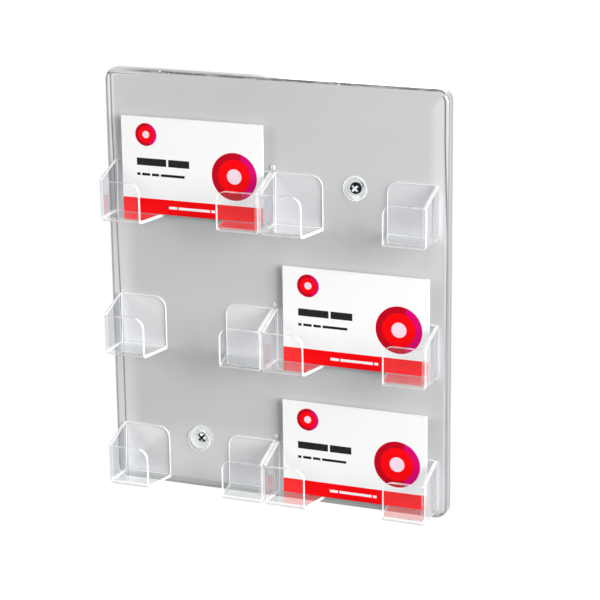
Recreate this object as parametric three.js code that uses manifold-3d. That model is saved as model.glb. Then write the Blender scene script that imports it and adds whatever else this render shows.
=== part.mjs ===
// Wall holder for business cards: a clear tray-shaped panel with two columns and three rows of
// card pockets. Each pocket is a pair of small corner cups that hold the cards by their lower
// corners. Millimetres, +Z up, the front looks along -Y.
// The origin is in the wall plane (y = 0), at the centre of the panel.

import * as THREE from 'three';
import { mergeVertices } from 'three/addons/utils/BufferGeometryUtils.js';
import Module from 'manifold-3d';

const wasm = await Module();
wasm.setup();

// Driving dimensions of the panel, a shallow tray that is open towards the wall
const panelWidth = 202;
const panelHeight = 242.5;
const panelDepth = 7;
const sheetThickness = 2;
const rimThickness = 2;
const panelCornerRadius = 7;
const panelEdgeRadius = 2.5;

// Driving dimensions of the pockets
const columnCount = 2;
const rowCount = 3;
const rowPitch = 78.1;
const lowestFloorAboveRim = 3.6;
const cupInsetFromSide = 5;
const dividerGap = 0.3;

// Driving dimensions of one corner cup
const cupDepth = 22;
const cupWall = 1.9;
const cupBaseThickness = 1;
const cupBackWidth = 29.4;
const cupFrontWidth = 24.8;
const cupBackHeight = 31;
const cupFrontHeight = 23.3;
const cupBackTopRadius = 6.5;
const cupFrontTopRadius = 6;
const cupOuterEdgeRadius = 2.6;
const cupFreeCornerRadius = 1;

// Driving dimensions of the stud above each divider
const studDiameter = 3.2;
const studAboveCup = 2.4;

// Driving dimensions of the recessed wells that take the wall screws
const wellOuterDiameter = 14.4;
const wellRearDiameter = 13;
const wellWall = 1.1;
const wellLip = 0.6;
const wellFloor = 1.8;
const wellAboveFloor = 25.4;
const screwHoleDiameter = 4.4;

// Driving dimensions of the pan head wall screws
const screwHeadDiameter = 6.6;
const screwHeadHeight = 2.4;
const screwShankDiameter = 3.8;
const screwReachIntoWall = 12;
const screwTipLength = 4;
const recessSpan = 4.2;
const recessBladeWidth = 1;
const recessDepth = 1.4;

// The screw that is not driven home, and how far it stands out
const looseScrew = 'top_right';
const looseScrewStandsOut = 3.6;

// Driving dimensions of the business cards, and the clearances that they stand with
const cardWidth = 85;
const cardHeight = 55;
const cardThickness = 0.4;
const cardSpacing = 0.5;
const cardsInStack = 3;
const cardClearance = 0.3;
const stackAheadOfBase = 1.5;

// How far each card of a stack lies to the side, from the front card to the back card
const cardSidesteps = [0, 0.3, -0.25];

// Which pockets are filled, and how far each stack lies off the pocket's middle
const filledPockets = [
  { column: 'left', row: 'top', shift: 1.3 },
  { column: 'right', row: 'middle', shift: 1 },
  { column: 'right', row: 'bottom', shift: 0 },
];

// Fineness of the round stretches, and how far a cutting form passes the surface that it cuts
const filletSteps = 6;
const roundSides = 32;
const cutAllowance = 1;

const columnNames = ['left', 'right'];
const rowNames = ['top', 'middle', 'bottom'];

// Values that follow from the driving dimensions
const frontFaceY = -panelDepth;
const columnWidth = panelWidth / 2 - cupInsetFromSide - dividerGap / 2;
const columnCentreX = dividerGap / 2 + columnWidth / 2;
const lowestFloorZ = -panelHeight / 2 + lowestFloorAboveRim;
const studHeight = cupBaseThickness;

// Materials, by the finish that the piece shows
function clearPlastic(color, opacity) {
  return new THREE.MeshStandardMaterial({ color, roughness: 0.08, metalness: 0, transparent: true, opacity });
}

function screwSteel() {
  return new THREE.MeshStandardMaterial({ color: 0x1b1b1d, roughness: 0.35, metalness: 0.8 });
}

function cardPaper(color) {
  return new THREE.MeshStandardMaterial({ color, roughness: 0.6, metalness: 0 });
}

// Solids for joining and cutting
function solidOf(geometry) {
  const bare = geometry.index ? geometry.toNonIndexed() : geometry.clone();
  bare.deleteAttribute('normal');
  bare.deleteAttribute('uv');
  const merged = mergeVertices(bare, 1e-4);
  return new wasm.Manifold(new wasm.Mesh({
    numProp: 3,
    vertProperties: new Float32Array(merged.attributes.position.array),
    triVerts: new Uint32Array(merged.index.array),
  }));
}

function geometryOf(solid) {
  const mesh = solid.getMesh();
  const geometry = new THREE.BufferGeometry();
  geometry.setAttribute('position', new THREE.BufferAttribute(new Float32Array(mesh.vertProperties), 3));
  geometry.setIndex(new THREE.BufferAttribute(new Uint32Array(mesh.triVerts), 1));
  geometry.computeVertexNormals();
  return geometry;
}

// A closed outline from its corners [x, y, radius], with each rounded corner as an arc
function roundedOutline(corners) {
  const points = [];
  corners.forEach(([x, y, radius], index) => {
    const corner = new THREE.Vector2(x, y);
    if (!radius) {
      points.push(corner);
      return;
    }
    const before = new THREE.Vector2(...corners[(index + corners.length - 1) % corners.length]);
    const after = new THREE.Vector2(...corners[(index + 1) % corners.length]);
    const inward = before.sub(corner).normalize();
    const outward = after.sub(corner).normalize();
    const halfAngle = Math.acos(inward.dot(outward)) / 2;
    const bisector = inward.clone().add(outward).normalize();
    const centre = corner.clone().addScaledVector(bisector, radius / Math.sin(halfAngle));
    const start = corner.clone().addScaledVector(inward, radius / Math.tan(halfAngle)).sub(centre);
    const end = corner.clone().addScaledVector(outward, radius / Math.tan(halfAngle)).sub(centre);
    const sweep = Math.atan2(start.x * end.y - start.y * end.x, start.dot(end));
    for (let step = 0; step <= filletSteps; step += 1) {
      points.push(start.clone().rotateAround(new THREE.Vector2(), sweep * step / filletSteps).add(centre));
    }
  });
  return points;
}

function rectangleOutline(width, height, radius) {
  const x = width / 2;
  const y = height / 2;
  return roundedOutline([[-x, -y, radius], [x, -y, radius], [x, y, radius], [-x, y, radius]]);
}

// An outline seen from the front (x, z), extruded forwards from the plane y = back
function frontExtrusion(outline, back, depth, edge = 0) {
  const geometry = new THREE.ExtrudeGeometry(new THREE.Shape(outline), {
    depth: depth - 2 * edge,
    steps: 1,
    bevelEnabled: edge > 0,
    bevelThickness: edge,
    bevelSize: edge,
    bevelOffset: -edge,
    bevelSegments: filletSteps - 2,
  });
  return geometry.translate(0, 0, edge).rotateX(Math.PI / 2).translate(0, back, 0);
}

// An outline seen from above (x, y), extruded upwards
function upwardExtrusion(outline, bottom, height) {
  const geometry = new THREE.ExtrudeGeometry(new THREE.Shape(outline), {
    depth: height, steps: 1, bevelEnabled: false,
  });
  return geometry.translate(0, 0, bottom);
}

// An outline seen from the side (distance in front of the panel, z), extruded across x
function sidewaysExtrusion(outline, width) {
  const geometry = new THREE.ExtrudeGeometry(new THREE.Shape(outline), {
    depth: 2 * width, steps: 1, bevelEnabled: false,
  });
  const toSideView = new THREE.Matrix4().makeBasis(
    new THREE.Vector3(0, -1, 0), new THREE.Vector3(0, 0, 1), new THREE.Vector3(-1, 0, 0),
  );
  return geometry.applyMatrix4(toSideView).translate(width, 0, 0);
}

// A loft between two outlines seen from the front, which have the same number of points
function frontLoft(backOutline, backY, frontOutline, frontY) {
  const count = backOutline.length;
  const positions = [];
  backOutline.forEach((point) => positions.push(point.x, backY, point.y));
  frontOutline.forEach((point) => positions.push(point.x, frontY, point.y));
  const anticlockwise = THREE.ShapeUtils.area(backOutline) > 0;
  const index = [];
  for (let here = 0; here < count; here += 1) {
    const next = (here + 1) % count;
    const [first, second] = anticlockwise ? [here, next] : [next, here];
    index.push(first, second, first + count);
    index.push(second, second + count, first + count);
  }
  THREE.ShapeUtils.triangulateShape(backOutline, []).forEach((corners) => {
    const turnsLeft = THREE.ShapeUtils.area(corners.map((corner) => backOutline[corner])) > 0;
    const [a, b, c] = turnsLeft ? corners : [...corners].reverse();
    index.push(a, c, b);
    index.push(a + count, b + count, c + count);
  });
  const geometry = new THREE.BufferGeometry();
  geometry.setAttribute('position', new THREE.Float32BufferAttribute(positions, 3));
  geometry.setIndex(index);
  return geometry;
}

// A round body from its profile [radius, distance in front of the wall], turned about Y
function turnedForwards(profile) {
  const points = profile.map(([radius, forwards]) => new THREE.Vector2(radius, -forwards));
  return new THREE.LatheGeometry(points.reverse(), roundSides);
}

// The panel: one sheet with a rounded front edge, a rim that reaches back to the wall, and a
// recessed well with a raised lip for each wall screw
function panelGeometry(wells) {
  const outerOutline = rectangleOutline(panelWidth, panelHeight, panelCornerRadius);
  const spareDepth = 2 * panelEdgeRadius;
  const outer = solidOf(frontExtrusion(outerOutline, spareDepth, panelDepth + spareDepth, panelEdgeRadius));
  const behindWall = solidOf(frontExtrusion(
    rectangleOutline(2 * panelWidth, 2 * panelHeight, 0), 2 * spareDepth, 2 * spareDepth,
  ));
  const hollowOutline = rectangleOutline(
    panelWidth - 2 * rimThickness, panelHeight - 2 * rimThickness, panelCornerRadius - rimThickness,
  );
  const hollowDepth = panelDepth - sheetThickness;
  const hollow = solidOf(frontExtrusion(hollowOutline, cutAllowance, hollowDepth + cutAllowance));
  let tray = outer.subtract(behindWall).subtract(hollow);
  const wellFront = panelDepth + wellLip;
  wells.forEach(({ x, z }) => {
    const body = solidOf(turnedForwards([
      [0, 0], [wellRearDiameter / 2, 0],
      [wellOuterDiameter / 2, wellFront], [0, wellFront],
    ]).translate(x, 0, z));
    const recess = solidOf(turnedForwards([
      [0, wellFloor], [wellRearDiameter / 2 - wellWall, wellFloor],
      [wellOuterDiameter / 2 - wellWall, wellFront + cutAllowance], [0, wellFront + cutAllowance],
    ]).translate(x, 0, z));
    const hole = solidOf(turnedForwards([
      [0, -cutAllowance], [screwHoleDiameter / 2, -cutAllowance],
      [screwHoleDiameter / 2, wellFloor + cutAllowance], [0, wellFloor + cutAllowance],
    ]).translate(x, 0, z));
    tray = tray.add(body).subtract(recess).subtract(hole);
  });
  return geometryOf(tray);
}

// A corner cup: a lofted block with rounded outer edges, shelled to a floor, a side wall, a
// front plate and the thin base that lies on the panel. It is open at its top and on the side
// that faces along +x when side is 1, or along -x when side is -1.
function cupGeometry(side) {
  const frontView = (width, height, topRadius) => roundedOutline([
    [0, 0, cupOuterEdgeRadius],
    [side * width, 0, cupFreeCornerRadius],
    [side * width, height, topRadius],
    [0, height, 0],
  ]);
  const block = solidOf(frontLoft(
    frontView(cupBackWidth, cupBackHeight, cupBackTopRadius), 0,
    frontView(cupFrontWidth, cupFrontHeight, cupFrontTopRadius), -cupDepth,
  ));
  const beyondWidth = cupBackWidth + cutAllowance;
  const beyondHeight = cupBackHeight + cutAllowance;
  const fromAbove = solidOf(upwardExtrusion(roundedOutline([
    [0, 0, 0],
    [side * beyondWidth, 0, 0],
    [side * beyondWidth, -cupDepth, 0],
    [0, -cupDepth, cupOuterEdgeRadius],
  ]), 0, beyondHeight));
  const fromTheSide = solidOf(sidewaysExtrusion(roundedOutline([
    [0, 0, 0],
    [cupDepth, 0, cupOuterEdgeRadius],
    [cupDepth, beyondHeight, 0],
    [0, beyondHeight, 0],
  ]), beyondWidth));
  const outer = block.intersect(fromAbove).intersect(fromTheSide);

  const innerRadius = cupOuterEdgeRadius - cupWall;
  const innerFront = cupDepth - cupWall;
  const hollowFromAbove = solidOf(upwardExtrusion(roundedOutline([
    [side * cupWall, -cupBaseThickness, 0],
    [side * beyondWidth, -cupBaseThickness, 0],
    [side * beyondWidth, -innerFront, 0],
    [side * cupWall, -innerFront, innerRadius],
  ]), 0, beyondHeight));
  const hollowFromTheSide = solidOf(sidewaysExtrusion(roundedOutline([
    [cupBaseThickness, cupWall, 0],
    [innerFront, cupWall, innerRadius],
    [innerFront, beyondHeight, 0],
    [cupBaseThickness, beyondHeight, 0],
  ]), beyondWidth));
  const hollowFromTheFront = solidOf(frontExtrusion(roundedOutline([
    [side * cupWall, cupWall, innerRadius],
    [side * beyondWidth, cupWall, 0],
    [side * beyondWidth, beyondHeight, 0],
    [side * cupWall, beyondHeight, 0],
  ]), 0, cupDepth));
  const hollow = hollowFromAbove.intersect(hollowFromTheSide).intersect(hollowFromTheFront);
  return geometryOf(outer.subtract(hollow));
}

// A low dome that stands on the panel, no higher than the cup bases, so that cards pass over it
function studGeometry() {
  const radius = studDiameter / 2;
  const profile = [[0, 0], [radius, 0]];
  for (let step = 1; step <= filletSteps; step += 1) {
    const angle = (Math.PI / 2) * (step / filletSteps);
    profile.push([radius * Math.cos(angle), studHeight * Math.sin(angle)]);
  }
  profile[profile.length - 1][0] = 0;
  return turnedForwards(profile);
}

// A pan head screw with a cross recess. It starts at y = 0 under its head and points to +y.
function screwGeometry() {
  const headRadius = screwHeadDiameter / 2;
  const shankRadius = screwShankDiameter / 2;
  const shankLength = wellFloor + screwReachIntoWall;
  const shoulder = 0.35 * screwHeadHeight;
  const profile = [
    [0, -shankLength],
    [shankRadius, -shankLength + screwTipLength],
    [shankRadius, 0],
    [headRadius, 0],
    [headRadius, shoulder],
  ];
  for (let step = 1; step <= filletSteps; step += 1) {
    const angle = (Math.PI / 2) * (step / filletSteps);
    profile.push([
      headRadius * Math.cos(angle),
      shoulder + (screwHeadHeight - shoulder) * Math.sin(angle),
    ]);
  }
  profile[profile.length - 1][0] = 0;
  const body = solidOf(turnedForwards(profile));
  const blade = (width, height) => solidOf(
    new THREE.BoxGeometry(width, 2 * recessDepth, height).translate(0, -screwHeadHeight, 0),
  );
  const cross = blade(recessSpan, recessBladeWidth).add(blade(recessBladeWidth, recessSpan));
  return geometryOf(body.subtract(cross));
}

function cardGeometry() {
  return new THREE.BoxGeometry(cardWidth, cardThickness, cardHeight);
}

function named(name, geometry, material, x, y, z) {
  const mesh = new THREE.Mesh(geometry, material);
  mesh.name = name;
  mesh.position.set(x, y, z);
  return mesh;
}

// Places of the pockets: x of the pocket's middle, and z of the underside of its floor
function pocketPlace(column, row) {
  const outwards = column === 'left' ? -1 : 1;
  const rowFromBelow = rowCount - 1 - rowNames.indexOf(row);
  return { outwards, x: outwards * columnCentreX, z: lowestFloorZ + rowFromBelow * rowPitch };
}

// The wall screws sit behind the middle of the four corner pockets
function wellPlaces() {
  const places = [];
  for (const column of columnNames) {
    for (const row of [rowNames[0], rowNames[rowCount - 1]]) {
      const { x, z } = pocketPlace(column, row);
      places.push({ name: `${row}_${column}`, x, z: z + wellAboveFloor });
    }
  }
  return places;
}

function addPanel(holder) {
  holder.add(named('panel', panelGeometry(wellPlaces()), clearPlastic(0xc6c7c9, 0.75), 0, 0, 0));
}

function addCups(holder) {
  const cups = { 1: cupGeometry(1), [-1]: cupGeometry(-1) };
  for (const column of columnNames.slice(0, columnCount)) {
    for (const row of rowNames) {
      const { outwards, x, z } = pocketPlace(column, row);
      for (const [corner, towards] of [['outer', outwards], ['inner', -outwards]]) {
        const cup = named(
          `cup_${row}_${column}_${corner}`, cups[-towards], clearPlastic(0xeef1f3, 0.4),
          x + towards * columnWidth / 2, frontFaceY, z,
        );
        holder.add(cup);
      }
    }
  }
}

function addStuds(holder) {
  for (const row of rowNames) {
    const { z } = pocketPlace('left', row);
    holder.add(named(
      `divider_stud_${row}`, studGeometry(), clearPlastic(0xeef1f3, 0.4),
      0, frontFaceY, z + cupBackHeight + studAboveCup,
    ));
  }
}

function addScrews(holder) {
  for (const { name, x, z } of wellPlaces()) {
    const standsOut = name === looseScrew ? looseScrewStandsOut : 0;
    holder.add(named(`wall_screw_${name}`, screwGeometry(), screwSteel(), x, -wellFloor - standsOut, z));
  }
}

// A stack of cards stands on the floors of its two cups, a little ahead of their bases
function addCards(holder) {
  const backCardY = frontFaceY - cupBaseThickness - stackAheadOfBase - cardThickness / 2;
  for (const { column, row, shift } of filledPockets) {
    const { x, z } = pocketPlace(column, row);
    const stack = new THREE.Group();
    stack.position.set(x + shift, 0, z + cupWall + cardClearance + cardHeight / 2);
    for (let card = 1; card <= cardsInStack; card += 1) {
      const stepsFromBack = cardsInStack - card;
      stack.add(named(
        `card_${row}_${column}_${card}`, cardGeometry(), cardPaper(card === 1 ? 0xf6f5f3 : 0xefedea),
        cardSidesteps[card - 1], backCardY - stepsFromBack * cardSpacing, 0,
      ));
    }
    holder.add(stack);
  }
}

const holder = new THREE.Group();
addPanel(holder);
addCups(holder);
addStuds(holder);
addScrews(holder);
addCards(holder);

export default holder;
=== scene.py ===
# Looks of the wall holder for business cards: clear plastic, printed cards and blackened screws.
# Metres, +Z up, the front looks along -Y, and the wall plane is y = 0.
import itertools
import math

import bmesh
import bpy
from mathutils import Matrix, Vector


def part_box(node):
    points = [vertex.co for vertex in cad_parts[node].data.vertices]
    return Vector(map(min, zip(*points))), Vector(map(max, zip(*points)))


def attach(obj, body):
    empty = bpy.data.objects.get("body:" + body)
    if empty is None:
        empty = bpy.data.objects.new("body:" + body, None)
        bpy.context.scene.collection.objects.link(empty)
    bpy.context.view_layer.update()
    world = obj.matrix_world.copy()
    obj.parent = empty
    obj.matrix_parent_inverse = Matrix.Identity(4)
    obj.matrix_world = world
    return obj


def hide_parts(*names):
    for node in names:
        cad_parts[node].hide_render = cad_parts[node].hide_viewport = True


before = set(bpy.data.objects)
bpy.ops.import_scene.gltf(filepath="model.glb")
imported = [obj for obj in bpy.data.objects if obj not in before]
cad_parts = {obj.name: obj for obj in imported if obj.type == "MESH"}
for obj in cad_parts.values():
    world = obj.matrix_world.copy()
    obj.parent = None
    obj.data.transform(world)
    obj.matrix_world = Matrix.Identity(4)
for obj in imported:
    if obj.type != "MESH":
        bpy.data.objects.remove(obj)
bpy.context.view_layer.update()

MM = 0.001
ROWS = ("top", "middle", "bottom")
COLUMNS = ("left", "right")
CORNERS = ("outer", "inner")
FILLED_POCKETS = (("top", "left"), ("middle", "right"), ("bottom", "right"))
CARDS_IN_STACK = 3


# Camera, at the photograph's place
IMAGE_SIZE = 600
CAMERA_AZIMUTH = math.radians(21.9)
CAMERA_ELEVATION = math.radians(16.65)
CAMERA_ROLL = math.radians(-0.66)
CAMERA_DISTANCE = 1279.9 * MM
CAMERA_SIDESTEP = 14.4 * MM
CAMERA_SINK = 3.4 * MM
FOCAL_PIXELS = 2304.8
SENSOR_WIDTH = 36.0
AIM = Vector((0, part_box("panel")[0].y, 0))


def add_camera():
    back = Vector((
        math.sin(CAMERA_AZIMUTH) * math.cos(CAMERA_ELEVATION),
        -math.cos(CAMERA_AZIMUTH) * math.cos(CAMERA_ELEVATION),
        math.sin(CAMERA_ELEVATION),
    ))
    level_right = (-back).cross(Vector((0, 0, 1))).normalized()
    level_up = level_right.cross(-back)
    right = level_right * math.cos(CAMERA_ROLL) + level_up * math.sin(CAMERA_ROLL)
    up = level_up * math.cos(CAMERA_ROLL) - level_right * math.sin(CAMERA_ROLL)
    place = AIM + back * CAMERA_DISTANCE + right * CAMERA_SIDESTEP - up * CAMERA_SINK
    data = bpy.data.cameras.new("photo_camera")
    data.sensor_width = SENSOR_WIDTH
    data.lens = FOCAL_PIXELS / IMAGE_SIZE * SENSOR_WIDTH
    camera = bpy.data.objects.new("photo_camera", data)
    bpy.context.scene.collection.objects.link(camera)
    turn = Matrix((right, up, back)).transposed().to_4x4()
    camera.matrix_world = Matrix.Translation(place) @ turn
    bpy.context.scene.camera = camera


# Materials
WHITE = (1, 1, 1, 1)
MIX_SHARE, MIX_LOW, MIX_HIGH, MIX_RESULT = 0, 6, 7, 2
NOISE_RANGE = (0.3, 0.7)


class Surface:
    """A material under construction: its node tree, and short calls that add and link nodes."""

    def __init__(self, name):
        self.material = bpy.data.materials.new(name)
        self.material.use_nodes = True
        self.tree = self.material.node_tree
        self.shader = self.tree.nodes["Principled BSDF"]
        self.output = self.tree.nodes["Material Output"]

    def add(self, kind, **settings):
        node = self.tree.nodes.new(kind)
        for key, value in settings.items():
            setattr(node, key, value)
        return node

    def link(self, source, target):
        self.tree.links.new(source, target)

    def feed(self, target, value):
        if isinstance(value, bpy.types.NodeSocket):
            self.link(value, target)
        else:
            target.default_value = value

    def set(self, **values):
        """Puts values on the main shader's own sockets, Base_Color for Base Color and so on."""
        for key, value in values.items():
            self.feed(self.shader.inputs[key.replace("_", " ")], value)

    def node(self, kind, **values):
        """Adds a node with values on its sockets, and gives its first output."""
        node = self.add(kind)
        for key, value in values.items():
            self.feed(node.inputs[key], value)
        return node.outputs[0]

    def math(self, operation, *values, clamp=False):
        node = self.add("ShaderNodeMath", operation=operation, use_clamp=clamp)
        for socket, value in zip(node.inputs, values):
            self.feed(socket, value)
        return node.outputs[0]

    def place(self, start=(0, 0, 0), stretch=(1, 1, 1)):
        """Object coordinates in millimetres from start, then stretched."""
        coordinates = self.add("ShaderNodeTexCoord").outputs["Object"]
        mapping = self.add("ShaderNodeMapping")
        scale = [factor / MM for factor in stretch]
        mapping.inputs["Scale"].default_value = scale
        mapping.inputs["Location"].default_value = [-a * b for a, b in zip(start, scale)]
        self.link(coordinates, mapping.inputs["Vector"])
        return mapping.outputs["Vector"]

    def parts(self, vector):
        node = self.add("ShaderNodeSeparateXYZ")
        self.link(vector, node.inputs[0])
        return node.outputs

    def distance(self, vector, point):
        node = self.add("ShaderNodeVectorMath", operation="DISTANCE")
        self.link(vector, node.inputs[0])
        node.inputs[1].default_value = point
        return node.outputs["Value"]

    def noise(self, vector, scale, detail=2.0):
        node = self.add("ShaderNodeTexNoise")
        self.link(vector, node.inputs["Vector"])
        node.inputs["Scale"].default_value = scale
        node.inputs["Detail"].default_value = detail
        return node.outputs["Fac"]

    def spread(self, value, low, high, start=0.0, end=1.0):
        """Maps start to end onto low to high."""
        node = self.add("ShaderNodeMapRange")
        self.link(value, node.inputs["Value"])
        node.inputs["From Min"].default_value = start
        node.inputs["From Max"].default_value = end
        node.inputs["To Min"].default_value = low
        node.inputs["To Max"].default_value = high
        return node.outputs["Result"]

    def vary(self, noise, low, high):
        """Maps the usual range of a noise onto low to high."""
        return self.spread(noise, low, high, *NOISE_RANGE)

    def hypotenuse(self, first, second):
        squares = [self.math("MULTIPLY", side, side) for side in (first, second)]
        return self.math("SQRT", self.math("ADD", *squares))

    def blend(self, share, low, high):
        """A colour between low and high."""
        node = self.add("ShaderNodeMix", data_type="RGBA")
        for socket, value in ((MIX_SHARE, share), (MIX_LOW, low), (MIX_HIGH, high)):
            self.feed(node.inputs[socket], value)
        return node.outputs[MIX_RESULT]

    def mix(self, share, low, high):
        """A shader between low and high."""
        node = self.add("ShaderNodeMixShader")
        for socket, value in zip(node.inputs, (share, low, high)):
            self.feed(socket, value)
        return node.outputs[0]

    def show(self, shader):
        self.link(shader, self.output.inputs["Surface"])

    def bump(self, height, strength, distance):
        node = self.add("ShaderNodeBump")
        self.link(height, node.inputs["Height"])
        node.inputs["Strength"].default_value = strength
        node.inputs["Distance"].default_value = distance
        self.link(node.outputs["Normal"], self.shader.inputs["Normal"])


# Clear plastic of the cups: see-through walls, and edges that carry a painted highlight where they would
# gather the light
PLASTIC_IOR = 1.49
WATER_CLEAR = (0.997, 0.999, 1.0, 1)
EDGE_CLEAR = (0.98, 0.99, 0.99, 1)
MILKY = (0.96, 0.965, 0.975, 1)
HAZE_ROUGHNESS = 0.35
LEAST_MIRROR = 0.02
MIRROR_START = 0.04


def see_through(name, haze, full_mirror=1.0, haze_color=MILKY, clear=WATER_CLEAR, blur=0.02):
    """Clear plastic with a share of haze, whose outer side mirrors more the flatter it is looked at.

    The mirror is complete where the Fresnel share reaches full_mirror.
    """
    made = Surface(name)
    flow = made.noise(made.place(), 0.06)
    made.set(Base_Color=haze_color, Roughness=HAZE_ROUGHNESS)
    through = made.node("ShaderNodeBsdfTransparent", Color=clear)
    clouded = made.mix(made.vary(flow, 0.7 * haze, 1.3 * haze), through, made.shader.outputs[0])
    mirror = made.node(
        "ShaderNodeBsdfGlossy", Color=WHITE, Roughness=made.vary(flow, 0.5 * blur, 1.5 * blur),
    )
    fresnel = made.node("ShaderNodeFresnel", IOR=PLASTIC_IOR)
    mirrored = made.spread(fresnel, LEAST_MIRROR, 1.0, MIRROR_START, full_mirror)
    backface = made.add("ShaderNodeNewGeometry").outputs["Backfacing"]
    on_outside = made.math("MULTIPLY", mirrored, made.math("SUBTRACT", 1.0, backface))
    made.show(made.mix(on_outside, clouded, mirror))
    return made.material


def painted_highlight_edge(name, least, most, glow=0.12):
    """Painted highlight for an edge of clear plastic: white paint where it would gather light, thinner in
    places, with light let through from behind.
    """
    made = Surface(name)
    flow = made.noise(made.place(), 0.12)
    made.set(Base_Color=WHITE, Roughness=0.18)
    made.bump(flow, 0.05, 0.0003)
    behind = made.node("ShaderNodeBsdfTranslucent", Color=WHITE)
    milk = made.mix(glow, made.shader.outputs[0], behind)
    through = made.node("ShaderNodeBsdfTransparent", Color=EDGE_CLEAR)
    made.show(made.mix(made.vary(flow, least, most), through, milk))
    return made.material


# Painted lines on the clear wall of a screw well, painted shade under the lip and a painted highlight at the
# floor, by their depth and half their width in millimetres
WELL_CLEAR = (0.90, 0.93, 0.925, 1)
WELL_TONE = (0.95, 0.965, 0.965, 1)
UNDER_LIP_PAINTED_SHADE = (0.16, 0.16, 0.17, 1)
UNDER_LIP_LINE = (-6.3, 0.3)
FLOOR_LINE = (-2.3, 0.35)
LINE_SHARE = 0.6


def well_plastic():
    """Clear wall of a screw well, with a painted shade line under its lip and a painted highlight line at
    its floor.
    """
    made = Surface("clear_well_wall")
    place = made.place()
    flow = made.noise(place, 0.3)
    depth = made.parts(place)[1]
    under_lip_shade = made.math("COMPARE", depth, *UNDER_LIP_LINE)
    floor_highlight = made.math("COMPARE", depth, *FLOOR_LINE)
    made.set(Base_Color=made.blend(under_lip_shade, WELL_TONE, UNDER_LIP_PAINTED_SHADE), Roughness=0.2)
    made.bump(flow, 0.05, 0.0003)
    through = made.node("ShaderNodeBsdfTransparent", Color=WELL_CLEAR)
    lines = made.math("MULTIPLY", made.math("ADD", under_lip_shade, floor_highlight), LINE_SHARE)
    share = made.math("MAXIMUM", made.vary(flow, 0.12, 0.25), lines)
    made.show(made.mix(share, through, made.shader.outputs[0]))
    return made.material


def clear_bead():
    """A small solid bead of clear plastic, made partly white as a painted highlight."""
    made = Surface("clear_bead")
    flow = made.noise(made.place(), 0.8)
    made.set(
        Base_Color=(0.97, 0.975, 0.98, 1),
        Roughness=made.spread(flow, 0.03, 0.09),
        IOR=PLASTIC_IOR,
        Transmission_Weight=0.4,
    )
    made.bump(flow, 0.2, 0.0002)
    return made.material


# Grey plastic of the panel
PANEL_LOW, PANEL_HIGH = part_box("panel")
PANEL_DEPTH = 7.0 * MM
SHEET_THICKNESS = 2.0 * MM
PANEL_CORNER_RADIUS = 7.0 * MM
PANEL_EDGE_RADIUS = 2.5 * MM
LOWEST_CUP_LOW, LOWEST_CUP_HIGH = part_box("cup_bottom_right_outer")
CUP_BACK_WIDTH = LOWEST_CUP_HIGH.x - LOWEST_CUP_LOW.x
CUP_BACK_HEIGHT = LOWEST_CUP_HIGH.z - LOWEST_CUP_LOW.z
CUP_BACK_TOP_RADIUS = 6.5 * MM
COLUMN_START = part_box("cup_bottom_right_inner")[0].x
COLUMN_EDGE = LOWEST_CUP_HIGH.x
LOWEST_FLOOR = LOWEST_CUP_LOW.z
ROW_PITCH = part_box("cup_middle_right_outer")[0].z - LOWEST_FLOOR


def wall_point(node):
    """The point of the wall plane that lies behind the middle of a CAD node."""
    low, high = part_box(node)
    return Vector(((low.x + high.x) / 2, 0, (low.z + high.z) / 2))


# Where the rear end of the bottom left well's tube would show through the sheet, painted there as light and
# shade, in millimetres
SEEN_TUBE_PLACE = wall_point("wall_screw_bottom_left") / MM + Vector((1.9, 0, 2.1))
SEEN_TUBE_RADIUS = 7.0
SIDE_SOFTNESS = 1.5
MIDDLE_SOFTNESS = 1.0
BELOW_NEXT_ROW = 5.0


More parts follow.
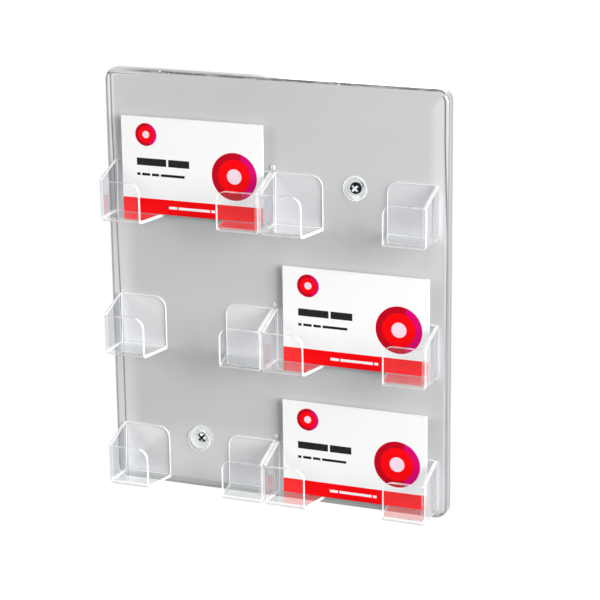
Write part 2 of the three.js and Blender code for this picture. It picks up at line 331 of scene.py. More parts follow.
class PanelPlaces:
    """Where a point of the panel lies, in millimetres, seen from the front."""

    def __init__(self, made):
        self.made = made
        place = made.place()
        self.x, self.y, self.z = made.parts(place)
        radius = PANEL_CORNER_RADIUS / MM
        beyond_x = made.math("SUBTRACT", made.math("ABSOLUTE", self.x), PANEL_HIGH.x / MM - radius)
        beyond_z = made.math("SUBTRACT", made.math("ABSOLUTE", self.z), PANEL_HIGH.z / MM - radius)
        outside = made.hypotenuse(
            made.math("MAXIMUM", beyond_x, 0.0), made.math("MAXIMUM", beyond_z, 0.0),
        )
        inside = made.math("MINIMUM", made.math("MAXIMUM", beyond_x, beyond_z), 0.0)
        self.inward = made.math("SUBTRACT", radius, made.math("ADD", outside, inside))
        beside = made.spread(
            made.math("SUBTRACT", beyond_x, beyond_z), 0.0, 1.0, -SIDE_SOFTNESS, SIDE_SOFTNESS,
        )
        level = made.math("SUBTRACT", 1.0, beside)
        rightwards = made.spread(self.x, 0.0, 1.0, -MIDDLE_SOFTNESS, MIDDLE_SOFTNESS)
        upwards = made.spread(self.z, 0.0, 1.0, -MIDDLE_SOFTNESS, MIDDLE_SOFTNESS)
        self.right = made.math("MULTIPLY", beside, rightwards)
        self.top = made.math("MULTIPLY", level, upwards)
        self.bottom = made.math("MULTIPLY", level, made.math("SUBTRACT", 1.0, upwards))

    def under_cups(self):
        """1 on the parts of the sheet that the bases of the cups cover, which get painted light."""
        made = self.made
        width, height, radius = CUP_BACK_WIDTH / MM, CUP_BACK_HEIGHT / MM, CUP_BACK_TOP_RADIUS / MM
        sideways = made.math("ABSOLUTE", self.x)
        from_wall = made.math(
            "MINIMUM",
            made.math("SUBTRACT", sideways, COLUMN_START / MM),
            made.math("SUBTRACT", COLUMN_EDGE / MM, sideways),
        )
        from_floor = made.math("MODULO", made.math("SUBTRACT", self.z, LOWEST_FLOOR / MM), ROW_PITCH / MM)
        round_x = made.math("MAXIMUM", made.math("SUBTRACT", from_wall, width - radius), 0.0)
        round_z = made.math("MAXIMUM", made.math("SUBTRACT", from_floor, height - radius), 0.0)
        rounding = made.hypotenuse(round_x, round_z)
        top_row_end = (LOWEST_FLOOR + len(ROWS) * ROW_PITCH) / MM - BELOW_NEXT_ROW
        in_rows = made.math("LESS_THAN", self.z, top_row_end)
        rows = made.math("MULTIPLY", self.band(from_floor, 0, height), in_rows)
        box = made.math("MULTIPLY", self.band(from_wall, 0, width), rows)
        return made.math("MULTIPLY", box, self.band(rounding, -1, radius))

    def band(self, value, low, high, soft=0.35):
        """1 between low and high of a value, with soft ends."""
        made = self.made
        rise = made.spread(value, 0.0, 1.0, low - soft, low + soft)
        fall = made.spread(value, 1.0, 0.0, high - soft, high + soft)
        return made.math("MULTIPLY", rise, fall)


def grey(level, blue=1.015):
    return (level, level, min(1.0, level * blue), 1)


# The lines and shades of the rim, each over the one before, are painted highlights and painted shade that
# stand in for light refracted and reflected in the clear rim: the side it lies on, what it is measured by,
# its start, end and softness in millimetres, its tone, and its share or where on that side it is
RIM_LIGHT_AND_SHADE = (
    ("right", "inward", -1.0, 9.0, 2.5, grey(0.70), "upper_half"),
    ("right", "inward", -1.0, 2.6, 0.5, grey(0.54), 1.0),
    ("right", "right_line", 0.3, 1.0, 0.25, grey(0.12), 1.0),
    ("right", "wavy_depth", -6.3, -4.4, 0.3, grey(0.30, 1.07), "on_side"),
    ("right", "wavy_depth", -4.4, -2.2, 0.3, grey(0.39, 1.05), "on_side"),
    ("right", "wavy_depth", -2.2, 1.0, 0.3, grey(0.28, 1.09), "on_side"),
    ("top", "depth", -6.0, 1.0, 1.2, grey(0.52), "on_side"),
    ("top", "inward", -1.0, 1.7, 0.4, grey(0.50), 1.0),
    ("top", "inward", 0.2, 1.2, 0.25, grey(0.14), "breaks"),
    # White painted glints along the top of the rim
    ("top", "inward", 0.1, 1.3, 0.25, grey(1.0), "painted_glints"),
    ("bottom", "inward", 2.0, 30.0, 12.0, grey(0.72), "on_front"),
    ("bottom", "inward", -1.0, 4.9, 0.25, grey(0.56), 1.0),
    ("left", "left_line", -1.0, 6.3, 0.3, grey(0.72), 1.0),
    ("top_left", "left_line", 5.0, 6.0, 0.2, grey(1.0), 0.8),
    ("left", "left_line", 6.0, 6.8, 0.3, grey(0.26), 1.0),
    ("top_left", "left_line", 7.0, 8.2, 0.3, grey(0.85), 0.7),
    ("left", "inward", 1.3, 2.0, 0.3, grey(0.46), 1.0),
)
FIELD_TONES = (grey(0.565, 1.02), grey(0.60, 1.02))
# Painted light on the sheet under the cups, the lighter end for the lower cups
PAINTED_LIGHT_UNDER_CUPS = (grey(0.71, 1.02), grey(0.86, 1.01))
# A painted light band along the lower left rim
LOWER_LEFT_PAINTED_LIGHT = ("lower_left", "inward", -1.0, 14.0, 4.0, grey(0.76), 0.8)
# A painted pale round and a painted dark line where the tube's rear end would show through: painted light
# and painted shade
TUBE_PAINTED_LIGHT_AND_SHADE = ((0.0, 20.0, 0.3, 0.75, grey(0.93)), (0.9, 1.5, 0.2, 0.4, grey(0.5)))

# Where the sides, halves and drifts of these lines begin and end on the panel, in millimetres
LEFT_SIDE_X = (-94, -74)
TOP_LEFT_Z = (30, 80)
LOWER_LEFT_Z = (40, 100)
UPPER_HALF_Z = (-10, 80)
LOW_DOWN_Z = (-40, 50)
RIGHT_DRIFT_Z = (40, 95)
LEFT_DRIFT_Z = (-50, 90)
SIDE_INWARD = (2.6, 3.2)
FRONT_DEPTH = (-5.8, -5.2)
RIGHT_DRIFT = 1.4
LEFT_DRIFT = 2.3
CORNER_STRETCH = 1.6
CORNER_ROUNDING = 4.0


def panel_surface():
    """The panel's plastic: a grey field, painted light under the cups, and painted highlights and painted
    shade lines along its rim and where the bottom left well's tube would show through.
    """
    made = Surface("grey_moulded_sheet")
    at = PanelPlaces(made)
    flow = made.noise(made.place(), 0.012, 3.0)
    upright_streak = made.noise(made.place(stretch=(0.3, 0.9, 0.02)), 1.0)
    level_streak = made.noise(made.place(stretch=(0.12, 0.9, 0.3)), 1.0)
    grain = made.noise(made.place(stretch=(0.35, 0.5, 0.5)), 1.0)
    cloud = made.noise(made.place(), 0.045, 1.0)
    left_side = made.spread(at.x, 1.0, 0.0, *LEFT_SIDE_X)
    sides = {
        "right": at.right,
        "top": at.top,
        "bottom": at.bottom,
        "left": left_side,
        "top_left": made.math("MULTIPLY", left_side, made.spread(at.z, 0.0, 1.0, *TOP_LEFT_Z)),
        "lower_left": made.math("MULTIPLY", left_side, made.spread(at.z, 1.0, 0.25, *LOWER_LEFT_Z)),
    }
    from_left = made.math("SUBTRACT", at.x, PANEL_LOW.x / MM)
    from_top = made.math("SUBTRACT", PANEL_HIGH.z / MM, at.z)
    from_top = made.math("MULTIPLY", from_top, CORNER_STRETCH)
    round_corner = made.math("SMOOTH_MIN", from_left, from_top, CORNER_ROUNDING)
    right_drift = made.spread(at.z, 0.0, RIGHT_DRIFT, *RIGHT_DRIFT_Z)
    left_drift = made.spread(at.z, 0.0, LEFT_DRIFT, *LEFT_DRIFT_Z)
    measures = {
        "inward": at.inward,
        "depth": at.y,
        "wavy_depth": made.math("ADD", at.y, made.vary(upright_streak, -0.5, 0.5)),
        "right_line": made.math("SUBTRACT", at.inward, right_drift),
        "left_line": made.math("ADD", round_corner, left_drift),
    }
    shares = {
        "upper_half": made.spread(at.z, 0.0, 1.0, *UPPER_HALF_Z),
        "on_side": made.spread(at.inward, 1.0, 0.0, *SIDE_INWARD),
        "on_front": made.spread(at.y, 0.9, 0.0, *FRONT_DEPTH),
        "breaks": made.spread(level_streak, 0.35, 1.0, 0.4, 0.55),
        "painted_glints": made.spread(grain, 0.0, 1.0, 0.66, 0.7),
    }

    def paint(color, side, measure, start, end, soft, tone, share):
        band = at.band(measures[measure], start, end, soft)
        on_band = made.math("MULTIPLY", sides[side], band)
        return made.blend(made.math("MULTIPLY", on_band, shares.get(share, share)), color, tone)

    color = paint(made.blend(made.vary(flow, 0.0, 1.0), *FIELD_TONES), *LOWER_LEFT_PAINTED_LIGHT)
    # Painted light under the cups, lighter lower down
    low_down = made.spread(at.z, 1.0, 0.0, *LOW_DOWN_Z)
    low_down = made.math("ADD", low_down, made.vary(cloud, -0.2, 0.2), clamp=True)
    color = made.blend(at.under_cups(), color, made.blend(low_down, *PAINTED_LIGHT_UNDER_CUPS))
    beside_tube = made.distance(made.place(stretch=(1, 0, 1)), SEEN_TUBE_PLACE)
    in_tube = made.math("SUBTRACT", SEEN_TUBE_RADIUS, beside_tube)
    for start, end, soft, strength, tone in TUBE_PAINTED_LIGHT_AND_SHADE:
        share = made.math("MULTIPLY", at.band(in_tube, start, end, soft), strength)
        color = made.blend(share, color, tone)
    for line in RIM_LIGHT_AND_SHADE:
        color = paint(color, *line)
    made.set(
        Base_Color=color,
        Transmission_Weight=0.03,
        IOR=1.4,
        Roughness=made.spread(flow, 0.12, 0.2),
    )
    made.bump(flow, 0.03, 0.0004)
    return made.material


# Printed cards, in millimetres from their lower left corner
PAPER_WHITE = (0.97, 0.97, 0.965, 1)
PAPER_SHADE = (0.94, 0.94, 0.935, 1)
PRINT_RED = (0.96, 0.0, 0.003, 1)
PRINT_MAGENTA = (0.70, 0.0, 0.17, 1)
PRINT_CRIMSON = (0.52, 0.0, 0.012, 1)
PRINT_PINK = (0.93, 0.72, 0.82, 1)
PRINT_BLACK = (0.012, 0.012, 0.014, 1)
PRINT_DEPTH = 0.05
DISCS = ((68, 25, 13.5), (15, 45, 6.5))
DISC_SPLIT, DISC_MIDDLE, DISC_CORE = 0.3, 0.72, 0.32
BAR_ROWS = (
    (27.4, 31.6, ((9, 27), (28.2, 41))),
    (21.6, 23.1, ((9, 11), (12, 17), (18, 22.5), (23.5, 38))),
)
BAND_TOP = 8.6
BAND_BARS = (3.4, 4.9, ((28, 33), (33.8, 53), (53.8, 56)))


def printed_card(name, corner):
    """White card with a red band, discs and plain bars on its front."""
    made = Surface(name)
    place = made.place(start=corner)
    across, depth, height = made.parts(place)
    fibres = made.noise(made.place(), 2.0, 4.0)

    def disc(paint, x, z, radius):
        """A flat round in three reds, with a small pale round in it."""
        away = made.distance(place, (x, 0, z))
        split = made.math("GREATER_THAN", across, x + DISC_SPLIT * radius)
        shade = made.blend(split, PRINT_CRIMSON, PRINT_MAGENTA)
        shade = made.blend(made.math("LESS_THAN", away, DISC_MIDDLE * radius), shade, PRINT_RED)
        shade = made.blend(made.math("LESS_THAN", away, DISC_CORE * radius), shade, PRINT_PINK)
        return made.blend(made.math("LESS_THAN", away, radius), paint, shade)

    def bars(paint, bottom, top, spans, ink):
        """A row of plain bars, one for each span."""
        level = made.math("COMPARE", height, (bottom + top) / 2, (top - bottom) / 2)
        for left, right in spans:
            beside = made.math("COMPARE", across, (left + right) / 2, (right - left) / 2)
            paint = made.blend(made.math("MULTIPLY", beside, level), paint, ink)
        return paint

    paint = made.blend(made.vary(fibres, 0.0, 1.0), PAPER_WHITE, PAPER_SHADE)
    for spot in DISCS:
        paint = disc(paint, *spot)
    for row in BAR_ROWS:
        paint = bars(paint, *row, PRINT_BLACK)
    paint = made.blend(made.math("LESS_THAN", height, BAND_TOP), paint, PRINT_RED)
    paint = bars(paint, *BAND_BARS, PAPER_WHITE)
    on_front = made.math("LESS_THAN", depth, PRINT_DEPTH)
    made.set(
        Base_Color=made.blend(on_front, PAPER_WHITE, paint),
        Roughness=made.spread(fibres, 0.45, 0.6),
        Specular_IOR_Level=0.12,
    )
    made.bump(fibres, 0.05, 0.00002)
    return made.material


def screw_steel(name, low, high, metallic, shine):
    made = Surface(name)
    grain = made.noise(made.place(), 3.0, 3.0)
    made.set(
        Base_Color=made.blend(grain, low, high),
        Metallic=metallic,
        Roughness=made.spread(grain, 0.18, 0.36),
        Specular_IOR_Level=shine,
    )
    made.bump(grain, 0.15, 0.00003)
    return made.material


# Finishing of new pieces
SHARP_ANGLE = math.radians(40)
FLAT_LIMIT = 0.9999


def finish_piece(name, mesh, materials, body, node):
    """Makes a mesh a piece that rides on a body and stands for a CAD node."""
    data = bpy.data.meshes.new(name)
    mesh.normal_update()
    for face in mesh.faces:
        face.smooth = abs(face.normal.y) < FLAT_LIMIT
    mesh.to_mesh(data)
    mesh.free()
    data.set_sharp_from_angle(angle=SHARP_ANGLE)
    for material in materials:
        data.materials.append(material)
    piece = bpy.data.objects.new(name, data)
    bpy.context.scene.collection.objects.link(piece)
    shading = piece.modifiers.new("even_shading", "WEIGHTED_NORMAL")
    shading.keep_sharp = True
    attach(piece, body)
    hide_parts(node)


# How many steps a rounded edge has
PANEL_CORNER_STEPS = 12
WIDE_STEPS = 10
ROUND_STEPS = 6
FILLET_STEPS = 3
SOFT_STEPS = 2


def bevel(mesh, geometry, width, segments, affect="EDGES", material=-1):
    bmesh.ops.bevel(
        mesh, geom=geometry, offset=width, segments=segments, profile=0.5,
        affect=affect, material=material, clamp_overlap=False,
    )


def sharp_edges(mesh):
    return [
        edge for edge in mesh.edges
        if len(edge.link_faces) == 2 and edge.calc_face_angle() > SHARP_ANGLE
    ]


# Corner cups
CUP_DEPTH = 21.98 * MM
CUP_WALL = 1.9 * MM
CUP_BASE = 1.0 * MM
CUP_FRONT_WIDTH = 24.8 * MM
CUP_FRONT_HEIGHT = 23.3 * MM
CUP_FRONT_TOP_RADIUS = 6.0 * MM
CUP_OUTER_RADIUS = 2.6 * MM
CUP_FRONT_RADIUS = 0.95 * CUP_OUTER_RADIUS
CUP_EDGE_SOFTNESS = 0.28 * MM
CUP_FILLET = 0.6 * MM
CUP_LIFT = 0.02 * MM
SAME_PLANE = 0.01 * MM

# How a face is turned, as shares of its normal
SQUARE_ON = 0.999
SLIGHTLY_TURNED = 0.1
UPRIGHT_CORNER = 0.15
LOOKS_UP = 0.3
LOOKS_AHEAD = 0.2
LOOKS_LEFT = -0.5

# How far round the front plate the painted highlight of a corner begins, as a ratio of normal shares
LOW_CORNER_START = 2.6
LEFT_CORNER_START = 2.6
RIGHT_CORNER_START = 1.3
(
    PLATE_SLOT, EDGE_SLOT, CORNER_SLOT, BASE_SLOT, SIDE_SLOT, FLOOR_SLOT,
    FAR_EDGE_SLOT, FRONT_EDGE_SLOT, REAR_SLOT, INNER_CORNER_SLOT, ROOT_SLOT,
) = range(11)


def cup_outline(mesh, y, width, height, top_radius):
    corners = [mesh.verts.new((x, y, z)) for x, z in ((0, 0), (width, 0), (width, height), (0, height))]
    mesh.faces.new(corners)
    bevel(mesh, [corners[0]], CUP_OUTER_RADIUS, ROUND_STEPS, affect="VERTICES")
    bevel(mesh, [corners[2]], top_radius, WIDE_STEPS, affect="VERTICES")


def middle_y(face):
    return face.calc_center_median().y


def corner_slot(face, side_start):
    """The finish of a rounded corner: the front ones and the upright rear one carry a painted highlight
    where they would gather the light.
    """
    x, y, z = face.normal
    if middle_y(face) > -0.1 * CUP_DEPTH:
        return CORNER_SLOT if abs(z) < SLIGHTLY_TURNED else INNER_CORNER_SLOT
    if max(x, y, z) > SLIGHTLY_TURNED or abs(y) < UPRIGHT_CORNER:
        return INNER_CORNER_SLOT
    start = side_start if abs(x) > abs(z) else LOW_CORNER_START
    return PLATE_SLOT if -y > start * max(abs(x), abs(z)) else CORNER_SLOT


def flat_slot(face, side_start):
    """The finish of a face of the walls, by the way that it looks."""
    x, y, z = (abs(share) for share in face.normal)
    if max(x, y, z) < SQUARE_ON:
        return corner_slot(face, side_start)
    if y > SQUARE_ON and middle_y(face) > -0.5 * CUP_BASE:
        return REAR_SLOT
    if y > SQUARE_ON and middle_y(face) > -2 * CUP_BASE:
        return BASE_SLOT
    if x > SQUARE_ON:
        return SIDE_SLOT
    if z > SQUARE_ON:
        return FLOOR_SLOT if face.calc_center_median().z > 0.5 * CUP_WALL else REAR_SLOT
    return PLATE_SLOT


def edge_slot(face):
    """The finish of a cut edge, by where it shows when the cup is in its place: each kind carries its own
    strength of painted highlight.
    """
    x, y, z = face.normal
    if z > LOOKS_UP and abs(x) < LOOKS_AHEAD and middle_y(face) < CUP_WALL - CUP_DEPTH:
        return FRONT_EDGE_SLOT
    return FAR_EDGE_SLOT if x < LOOKS_LEFT else EDGE_SLOT


def is_root(edge):
    """Whether an edge is one where the floor or the side wall springs from the front of the base."""
    on_base = all(abs(vert.co.y + CUP_BASE) < SAME_PLANE for vert in edge.verts)
    return on_base and any(middle_y(face) < -2 * CUP_BASE for face in edge.link_faces)


def cup_mesh(width, height, side_start):
    """A cup whose outer corner is at the origin, open towards +x and upwards, with its front at -y."""
    mesh = bmesh.new()
    cup_outline(mesh, 0, width, height, CUP_BACK_TOP_RADIUS)
    cup_outline(mesh, -CUP_DEPTH, CUP_FRONT_WIDTH, CUP_FRONT_HEIGHT, CUP_FRONT_TOP_RADIUS)
    bmesh.ops.bridge_loops(mesh, edges=mesh.edges[:])
    bmesh.ops.recalc_face_normals(mesh, faces=mesh.faces[:])
    open_faces = [face for face in mesh.faces if max(face.normal.x, face.normal.z) > SLIGHTLY_TURNED]
    bmesh.ops.delete(mesh, geom=open_faces, context="FACES")
    front = min(mesh.faces, key=middle_y)
    front_edges = [edge for edge in front.edges if len(edge.link_faces) == 2]
    bevel(mesh, front_edges, CUP_FRONT_RADIUS, ROUND_STEPS)
    skin = set(mesh.faces)
    made = bmesh.ops.solidify(mesh, geom=list(skin), thickness=CUP_WALL)["geom"]
    skin.update(item for item in made if isinstance(item, bmesh.types.BMFace))
    for vert in mesh.verts:
        if abs(vert.co.y + CUP_WALL) < SAME_PLANE:
            vert.co.y = -CUP_BASE
    # The fillets where the floor and the side wall spring from the base carry a painted highlight
    roots = [edge for edge in mesh.edges if is_root(edge)]
    bevel(mesh, roots, CUP_FILLET, FILLET_STEPS, material=ROOT_SLOT)
    mesh.normal_update()
    for face in mesh.faces:
        if face.material_index != ROOT_SLOT:
            face.material_index = flat_slot(face, side_start) if face in skin else EDGE_SLOT
    bevel(mesh, sharp_edges(mesh), CUP_EDGE_SOFTNESS, SOFT_STEPS, material=EDGE_SLOT)
    return mesh


def add_cups(finishes, side_walls):
    """Adds the twelve cups; side_walls gives the side wall's material for a column and a corner, with
    painted shade or painted light for how the light falls on that wall.
    """
    for column, row, corner in itertools.product(COLUMNS, ROWS, CORNERS):
        node = f"cup_{row}_{column}_{corner}"
        low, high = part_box(node)
        wall_at_left = (column == "left") == (corner == "outer")
        side_start = LEFT_CORNER_START if wall_at_left else RIGHT_CORNER_START
        mesh = cup_mesh(high.x - low.x, high.z - low.z, side_start)
        if not wall_at_left:
            bmesh.ops.scale(mesh, vec=(-1, 1, 1), verts=mesh.verts)
            bmesh.ops.reverse_faces(mesh, faces=mesh.faces)
        mesh.normal_update()
        for face in mesh.faces:
            if face.material_index == EDGE_SLOT:
                face.material_index = edge_slot(face)
        corner_x = low.x if wall_at_left else high.x
        bmesh.ops.translate(mesh, vec=(corner_x, high.y - CUP_LIFT, low.z), verts=mesh.verts)
        shades = {**finishes, SIDE_SLOT: side_walls[column, corner]}
        materials = [shades[slot] for slot in sorted(shades)]
        finish_piece(f"clear_{node}", mesh, materials, "root", node)


# Panel with its rim and screw wells; the profile of a well is in millimetres, radius and y
WELL_NAMES = ("top_left", "top_right", "bottom_left", "bottom_right")
WELL_STEPS = 48
WELL_PROFILE = (
    (7.15, -7.0), (7.2, -7.6), (6.1, -7.6), (5.4, -1.8), (2.2, -1.8), (2.2, 0.0), (6.5, 0.0), (6.96, -5.0),
)
WELL_SOFTNESS = 0.25 * MM
WELL_LIP_END = -7.05 * MM
LEAST_LIP_HEIGHT = 0.3 * MM
RIM_REACH = 2.3 * MM
LARGE_AREA = 0.01
LEVEL = 0.99
STEEP = 0.95
FRONT_Y = PANEL_HIGH.y - PANEL_DEPTH
INNER_Y = FRONT_Y + SHEET_THICKNESS
SHEET_SLOT, WELL_SLOT, LIP_SLOT = range(3)


def flat_loops(mesh, y):
    """Open edges that lie in the plane y."""
    return [
        edge for edge in mesh.edges
        if len(edge.link_faces) < 2 and all(abs(vert.co.y - y) < SAME_PLANE for vert in edge.verts)
    ]


def tray_mesh():
    """The panel without its wells: a rounded plate with a rim, open towards the wall."""
    mesh = bmesh.new()
    corners = [mesh.verts.new((x, PANEL_HIGH.y, z)) for x, z in (
        (PANEL_LOW.x, PANEL_LOW.z), (PANEL_HIGH.x, PANEL_LOW.z),
        (PANEL_HIGH.x, PANEL_HIGH.z), (PANEL_LOW.x, PANEL_HIGH.z),
    )]
    mesh.faces.new(corners)
    bevel(mesh, corners, PANEL_CORNER_RADIUS, PANEL_CORNER_STEPS, affect="VERTICES")
    grown = bmesh.ops.extrude_face_region(mesh, geom=mesh.faces[:])["geom"]
    front_verts = [item for item in grown if isinstance(item, bmesh.types.BMVert)]
    bmesh.ops.translate(mesh, vec=(0, -PANEL_DEPTH, 0), verts=front_verts)
    bmesh.ops.recalc_face_normals(mesh, faces=mesh.faces[:])
    front = min(mesh.faces, key=middle_y)
    rear = [face for face in mesh.faces if face.normal.y > LEVEL]
    bmesh.ops.delete(mesh, geom=rear, context="FACES_ONLY")
    bevel(mesh, list(front.edges), PANEL_EDGE_RADIUS, ROUND_STEPS)
    bmesh.ops.solidify(mesh, geom=mesh.faces[:], thickness=SHEET_THICKNESS)
    mesh.normal_update()
    return mesh


def panel_mesh():
    """The tray with its flat faces made anew around the four wells."""
    mesh = tray_mesh()
    flats = [face for face in mesh.faces if abs(face.normal.y) > LEVEL and face.calc_area() > LARGE_AREA]
    bmesh.ops.delete(mesh, geom=flats, context="FACES_ONLY")
    for name in WELL_NAMES:
        centre = wall_point(f"wall_screw_{name}")
        profile = [mesh.verts.new(centre + Vector((radius, y, 0)) * MM) for radius, y in WELL_PROFILE]
        edges = [mesh.edges.new(pair) for pair in zip(profile, profile[1:])]
        bmesh.ops.spin(
            mesh, geom=profile + edges, cent=centre, axis=(0, 1, 0), angle=2 * math.pi,
            steps=WELL_STEPS, use_merge=True,
        )
    for y, normal in ((FRONT_Y, (0, -1, 0)), (INNER_Y, (0, 1, 0))):
        bmesh.ops.triangle_fill(mesh, edges=flat_loops(mesh, y), normal=normal, use_beauty=True)
    bmesh.ops.recalc_face_normals(mesh, faces=mesh.faces[:])
    mesh.normal_update()
    lips = [
        edge for edge in sharp_edges(mesh)
        if all(vert.co.y < FRONT_Y - LEAST_LIP_HEIGHT for vert in edge.verts)
    ]
    bevel(mesh, lips, WELL_SOFTNESS, SOFT_STEPS)
    return mesh


def panel_slot(face):
    """The finish of a face of the panel, by where it lies."""
    centre = face.calc_center_median()
    if abs(centre.x) > PANEL_HIGH.x - RIM_REACH or abs(centre.z) > PANEL_HIGH.z - RIM_REACH:
        return SHEET_SLOT
    if centre.y < WELL_LIP_END:
        return LIP_SLOT if face.normal.y < -LEVEL else WELL_SLOT
    if abs(face.normal.y) < STEEP or centre.y > INNER_Y + 0.5 * MM:
        return WELL_SLOT
    return SHEET_SLOT


def add_panel(materials):
    mesh = panel_mesh()
    for face in mesh.faces:
        face.material_index = panel_slot(face)
    finish_piece("panel_moulding", mesh, materials, "root", "panel")


# Wall screws and the beads above the dividers, in millimetres
TURN_STEPS = 32
DOME_STEPS = 6
HEAD_RADIUS = 3.3
HEAD_HEIGHT = 2.4
HEAD_SHOULDER = 0.7
CORE_RADIUS = 1.4
TIP_LENGTH = 4.0
THREAD_RADIUS = 1.9
THREAD_PITCH = 1.4
THREAD_ROOT = 0.5
THREAD_SINK = 0.1
THREAD_START = 1.0
THREAD_RUNOUT = 0.8
RECESS_SPAN = 4.4
LONG_RECESS_SPAN = 5.4
RECESS_BLADE = 1.2
RECESS_DEPTH = 1.4
RECESS_TAPER = 0.7
RECESS_REACH = 1.5
RECESS_AXES = (Vector((1, 0, 1)).normalized(), Vector((-1, 0, 1)).normalized())
SIDES = (-1, 1)
# The recess of the dark heads carries bright steel as a painted glint; the bottom left head is bright steel
# as a painted reflection
HEAD_SLOT, BRIGHT_SLOT = 0, 1
BRIGHT_SCREW = "bottom_left"
BEAD_LIFT = 0.02
BEAD_WAIST_HEIGHT, BEAD_LOBE_HEIGHT = 0.78, 0.2
BEAD_WAIST_DEPTH, BEAD_LOBE_DEPTH = 0.75, 0.25


def turn(mesh, profile, centre):
    """Turns a profile of (radius, y) about the y axis through centre."""
    points = [mesh.verts.new((centre.x + radius * MM, y * MM, centre.z)) for radius, y in profile]
    edges = [mesh.edges.new(pair) for pair in zip(points, points[1:])]
    bmesh.ops.spin(
        mesh, geom=points + edges, cent=centre, axis=(0, 1, 0), angle=2 * math.pi,
        steps=TURN_STEPS, use_merge=True,
    )
    bmesh.ops.remove_doubles(mesh, verts=mesh.verts[:], dist=0.001 * MM)


def dome(radius, base_y, height):
    """Profile of a dome from its foot to its top, towards -y."""
    angles = [math.pi / 2 * step / DOME_STEPS for step in range(DOME_STEPS + 1)]
    return [(radius * math.cos(angle), base_y - height * math.sin(angle)) for angle in angles]


def cut_cross(mesh, centre, top_y, recess_span):
    """Sinks a cross recess into the top of a screw head."""
    head_end = (top_y + RECESS_REACH) * MM
    for span, axis, side in itertools.product((RECESS_BLADE, recess_span), RECESS_AXES, SIDES):
        head = [face for face in mesh.faces if middle_y(face) < head_end]
        edges = {edge for face in head for edge in face.edges}
        verts = {vert for face in head for vert in face.verts}
        bmesh.ops.bisect_plane(
            mesh, geom=head + list(edges) + list(verts), dist=0.0001 * MM,
            plane_co=centre + axis * side * span / 2 * MM, plane_no=axis,
        )
    cross = []
    for face in mesh.faces:
        place = face.calc_center_median() - centre
        across, along = sorted(abs(place.dot(axis)) for axis in RECESS_AXES)
        if across < RECESS_BLADE / 2 * MM and along < recess_span / 2 * MM and place.y < head_end:
            cross.append(face)
    before = set(mesh.faces)
    grown = bmesh.ops.extrude_face_region(mesh, geom=cross)["geom"]
    sunk = [item for item in grown if isinstance(item, bmesh.types.BMVert)]
    bmesh.ops.translate(mesh, vec=(0, RECESS_DEPTH * MM, 0), verts=sunk)
    bmesh.ops.scale(
        mesh, vec=(RECESS_TAPER, 1, RECESS_TAPER), verts=sunk, space=Matrix.Translation(-centre),
    )
    bmesh.ops.delete(mesh, geom=[face for face in cross if face.is_valid], context="FACES_ONLY")
    for face in mesh.faces:
        if face not in before:
            face.material_index = BRIGHT_SLOT


def add_thread(mesh, centre, start_y, length):
    """Winds a ridge of three sides round the core."""
    root_radius = CORE_RADIUS - THREAD_SINK
    section = [
        mesh.verts.new((centre.x + radius * MM, (start_y + along) * MM, centre.z))
        for radius, along in ((root_radius, 0), (THREAD_RADIUS, THREAD_ROOT / 2), (root_radius, THREAD_ROOT))
    ]
    face = mesh.faces.new(section)
    turns = length / THREAD_PITCH
    steps = int(turns * TURN_STEPS)
    bmesh.ops.spin(
        mesh, geom=[face], cent=centre, axis=(0, 1, 0), angle=2 * math.pi * turns,
        steps=steps, dvec=(0, length / steps * MM, 0),
    )


def add_screws(dark, bright):
    """Adds the four screws: dark heads with a painted glint of bright steel in the recess, and one head of
    bright steel as a painted reflection, with a dark recess.
    """
    for name in WELL_NAMES:
        node = f"wall_screw_{name}"
        low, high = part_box(node)
        centre = wall_point(node)
        top_y, tip_y = low.y / MM, high.y / MM
        seat_y = top_y + HEAD_HEIGHT
        core_end_y = tip_y - TIP_LENGTH
        core = [(0, tip_y), (CORE_RADIUS, core_end_y), (CORE_RADIUS, seat_y), (HEAD_RADIUS, seat_y)]
        head = dome(HEAD_RADIUS, seat_y - HEAD_SHOULDER, HEAD_HEIGHT - HEAD_SHOULDER)
        is_bright = name == BRIGHT_SCREW
        mesh = bmesh.new()
        turn(mesh, core + head, centre)
        bmesh.ops.recalc_face_normals(mesh, faces=mesh.faces[:])
        cut_cross(mesh, centre, top_y, LONG_RECESS_SPAN if is_bright else RECESS_SPAN)
        thread_length = core_end_y - seat_y - THREAD_START - THREAD_RUNOUT
        add_thread(mesh, centre, seat_y + THREAD_START, thread_length)
        bmesh.ops.recalc_face_normals(mesh, faces=mesh.faces[:])
        for face in mesh.faces:
            if middle_y(face) > (seat_y + 0.01) * MM:
                face.material_index = HEAD_SLOT if is_bright else BRIGHT_SLOT
        materials = [bright, dark] if is_bright else [dark, bright]
        finish_piece(f"pan_head_screw_{name}", mesh, materials, "root", node)


def add_beads(material):
    """Two-lobed beads above the dividers."""
    for row in ROWS:
        node = f"divider_stud_{row}"
        low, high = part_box(node)
        centre = wall_point(node)
        radius = (high.x - low.x) / 2
        foot_y = high.y / MM - BEAD_LIFT
        height = (high.y - low.y) / MM - 2 * BEAD_LIFT
        foot = [(0, foot_y), (radius / MM, foot_y)]
        mesh = bmesh.new()
        turn(mesh, foot + dome(radius / MM, foot_y - BEAD_LIFT, height)[1:], centre)
        for vert in mesh.verts:
            lobe = math.sin(math.pi * min(1.0, abs(vert.co.x - centre.x) / radius))
            vert.co.z = centre.z + (vert.co.z - centre.z) * (BEAD_WAIST_HEIGHT + BEAD_LOBE_HEIGHT * lobe)
            vert.co.y = high.y + (vert.co.y - high.y) * (BEAD_WAIST_DEPTH + BEAD_LOBE_DEPTH * lobe)
        bmesh.ops.recalc_face_normals(mesh, faces=mesh.faces[:])
        finish_piece(f"clear_bead_{row}", mesh, [material], "root", node)


def dress(node_name, material):
    """Gives a CAD node its finished material."""
    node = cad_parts[node_name]
    node.data.materials.clear()
    node.data.materials.append(material)


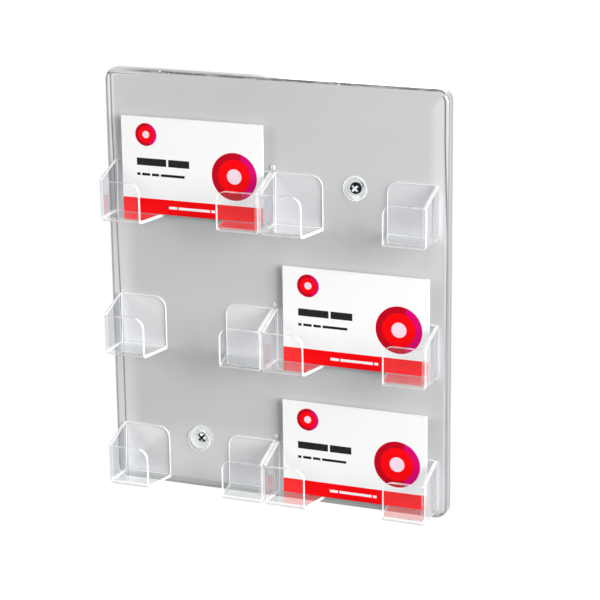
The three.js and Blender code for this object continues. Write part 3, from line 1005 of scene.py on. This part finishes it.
# Floor, light and surroundings
FLOOR_BELOW = 3.0
FLOOR_SIZE = 4.0
FLOOR_TONE = (0.8, 0.8, 0.8, 1)
SURROUND_LIGHT = 0.10
SOFTBOXES = (
    ("right_softbox", (1.46, -0.70, 0.46), 1.2, 50),
    ("left_softbox", (-1.35, -0.85, 0.52), 0.8, 13),
    ("rear_softbox", (-0.20, 1.60, 0.60), 0.9, 30),
)


def seen_directly(tree):
    """1 for camera, glossy and transmission rays, which see plain white, and 0 for the others."""
    path = tree.nodes.new("ShaderNodeLightPath")
    total = path.outputs["Is Camera Ray"]
    for name in ("Is Glossy Ray", "Is Transmission Ray"):
        added = tree.nodes.new("ShaderNodeMath")
        added.operation = "ADD"
        added.use_clamp = True
        tree.links.new(total, added.inputs[0])
        tree.links.new(path.outputs[name], added.inputs[1])
        total = added.outputs[0]
    return total


def add_world():
    world = bpy.data.worlds.new("studio")
    bpy.context.scene.world = world
    world.use_nodes = True
    tree = world.node_tree
    lighting = tree.nodes["Background"]
    lighting.inputs["Color"].default_value = WHITE
    lighting.inputs["Strength"].default_value = SURROUND_LIGHT
    seen = tree.nodes.new("ShaderNodeBackground")
    seen.inputs["Color"].default_value = WHITE
    seen.inputs["Strength"].default_value = 1.0
    mix = tree.nodes.new("ShaderNodeMixShader")
    tree.links.new(seen_directly(tree), mix.inputs[0])
    tree.links.new(lighting.outputs[0], mix.inputs[1])
    tree.links.new(seen.outputs[0], mix.inputs[2])
    tree.links.new(mix.outputs[0], tree.nodes["World Output"].inputs["Surface"])


def add_floor():
    mesh = bmesh.new()
    bmesh.ops.create_grid(mesh, x_segments=1, y_segments=1, size=FLOOR_SIZE)
    bmesh.ops.translate(mesh, verts=mesh.verts, vec=(0, 0, -FLOOR_BELOW))
    data = bpy.data.meshes.new("floor")
    mesh.to_mesh(data)
    mesh.free()
    floor = bpy.data.objects.new("floor", data)
    bpy.context.scene.collection.objects.link(floor)
    made = Surface("pale_floor")
    made.set(Base_Color=FLOOR_TONE, Roughness=0.9)
    white = made.node("ShaderNodeEmission", Strength=1.0)
    made.show(made.mix(seen_directly(made.tree), made.shader.outputs[0], white))
    data.materials.append(made.material)


def add_lamp(name, place, size, power):
    data = bpy.data.lights.new(name, "AREA")
    data.shape = "RECTANGLE"
    data.size = size
    data.size_y = size
    data.energy = power
    lamp = bpy.data.objects.new(name, data)
    bpy.context.scene.collection.objects.link(lamp)
    lamp.location = place
    lamp.rotation_euler = (AIM - Vector(place)).to_track_quat("-Z", "Y").to_euler()


def add_lights():
    for softbox in SOFTBOXES:
        add_lamp(*softbox)


# Finishes of the pieces
# Painted shade and light of the side walls: the haze and the clear tints make lit and shaded copies of one
# plastic
SHADED_WALL_HAZE = (0.52, 0.55, 0.61, 1)
SHADED_CLEAR = (0.77, 0.78, 0.80, 1)
LIT_CLEAR = (0.84, 0.845, 0.86, 1)
INNER_CLEAR = (0.93, 0.93, 0.94, 1)
DIM_CLEAR = (0.90, 0.90, 0.91, 1)
FLOOR_CLEAR = (0.90, 0.925, 0.92, 1)
DARK_STEEL = ((0.003, 0.003, 0.005, 1), (0.008, 0.008, 0.012, 1))
GLINT_STEEL = ((0.80, 0.81, 0.83, 1), (0.97, 0.97, 0.98, 1))


def add_pieces():
    add_panel([
        panel_surface(),
        well_plastic(),
        # A painted highlight ring on the lips of the wells
        painted_highlight_edge("bright_ring", 0.9, 1.0),
    ])
    inner_side_wall = see_through("clear_side_wall", 0.05, 0.40, clear=INNER_CLEAR, blur=0.08)
    add_cups({
        PLATE_SLOT: see_through("clear_front_plate", 0.006),
        # Painted highlights on the edges, corners and fillets, each of its own strength
        EDGE_SLOT: painted_highlight_edge("light_gathering_edge", 0.72, 0.98),
        CORNER_SLOT: painted_highlight_edge("light_gathering_corner", 0.6, 0.8, glow=0.4),
        BASE_SLOT: see_through("clear_base", 0.02),
        FLOOR_SLOT: see_through("clear_floor", 0.02, 0.29, clear=FLOOR_CLEAR, blur=0.05),
        FAR_EDGE_SLOT: painted_highlight_edge("far_edge", 0.6, 0.95, glow=0.5),
        FRONT_EDGE_SLOT: painted_highlight_edge("front_edge", 0.3, 0.95, glow=0.3),
        REAR_SLOT: see_through("clear_rear", 0.004),
        INNER_CORNER_SLOT: painted_highlight_edge("inner_corner", 0.15, 0.4),
        ROOT_SLOT: painted_highlight_edge("root_fillet", 0.4, 0.85, glow=0.4),
    }, {
        # The left outer walls carry the darkest painted shade, the other walls lighter copies
        ("left", "outer"): see_through("shaded_side_wall", 0.04, 0.40, SHADED_WALL_HAZE, SHADED_CLEAR, 0.08),
        ("right", "outer"): see_through("lit_side_wall", 0.04, 0.40, clear=LIT_CLEAR, blur=0.08),
        ("left", "inner"): inner_side_wall,
        ("right", "inner"): see_through("plain_side_wall", 0.05, 0.85, clear=DIM_CLEAR, blur=0.1),
    })
    add_screws(
        screw_steel("blackened_steel", *DARK_STEEL, 0.0, 0.06),
        screw_steel("painted_glint_steel", *GLINT_STEEL, 1.0, 0.5),
    )
    add_beads(clear_bead())
    for row, column in FILLED_POCKETS:
        for card in range(1, CARDS_IN_STACK + 1):
            name = f"card_{row}_{column}_{card}"
            dress(name, printed_card(f"print_{row}_{column}_{card}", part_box(name)[0]))


add_camera()
add_world()
add_floor()
add_lights()
add_pieces()

scene = bpy.context.scene
scene.view_settings.view_transform = "Standard"
scene.cycles.transparent_max_bounces = 32
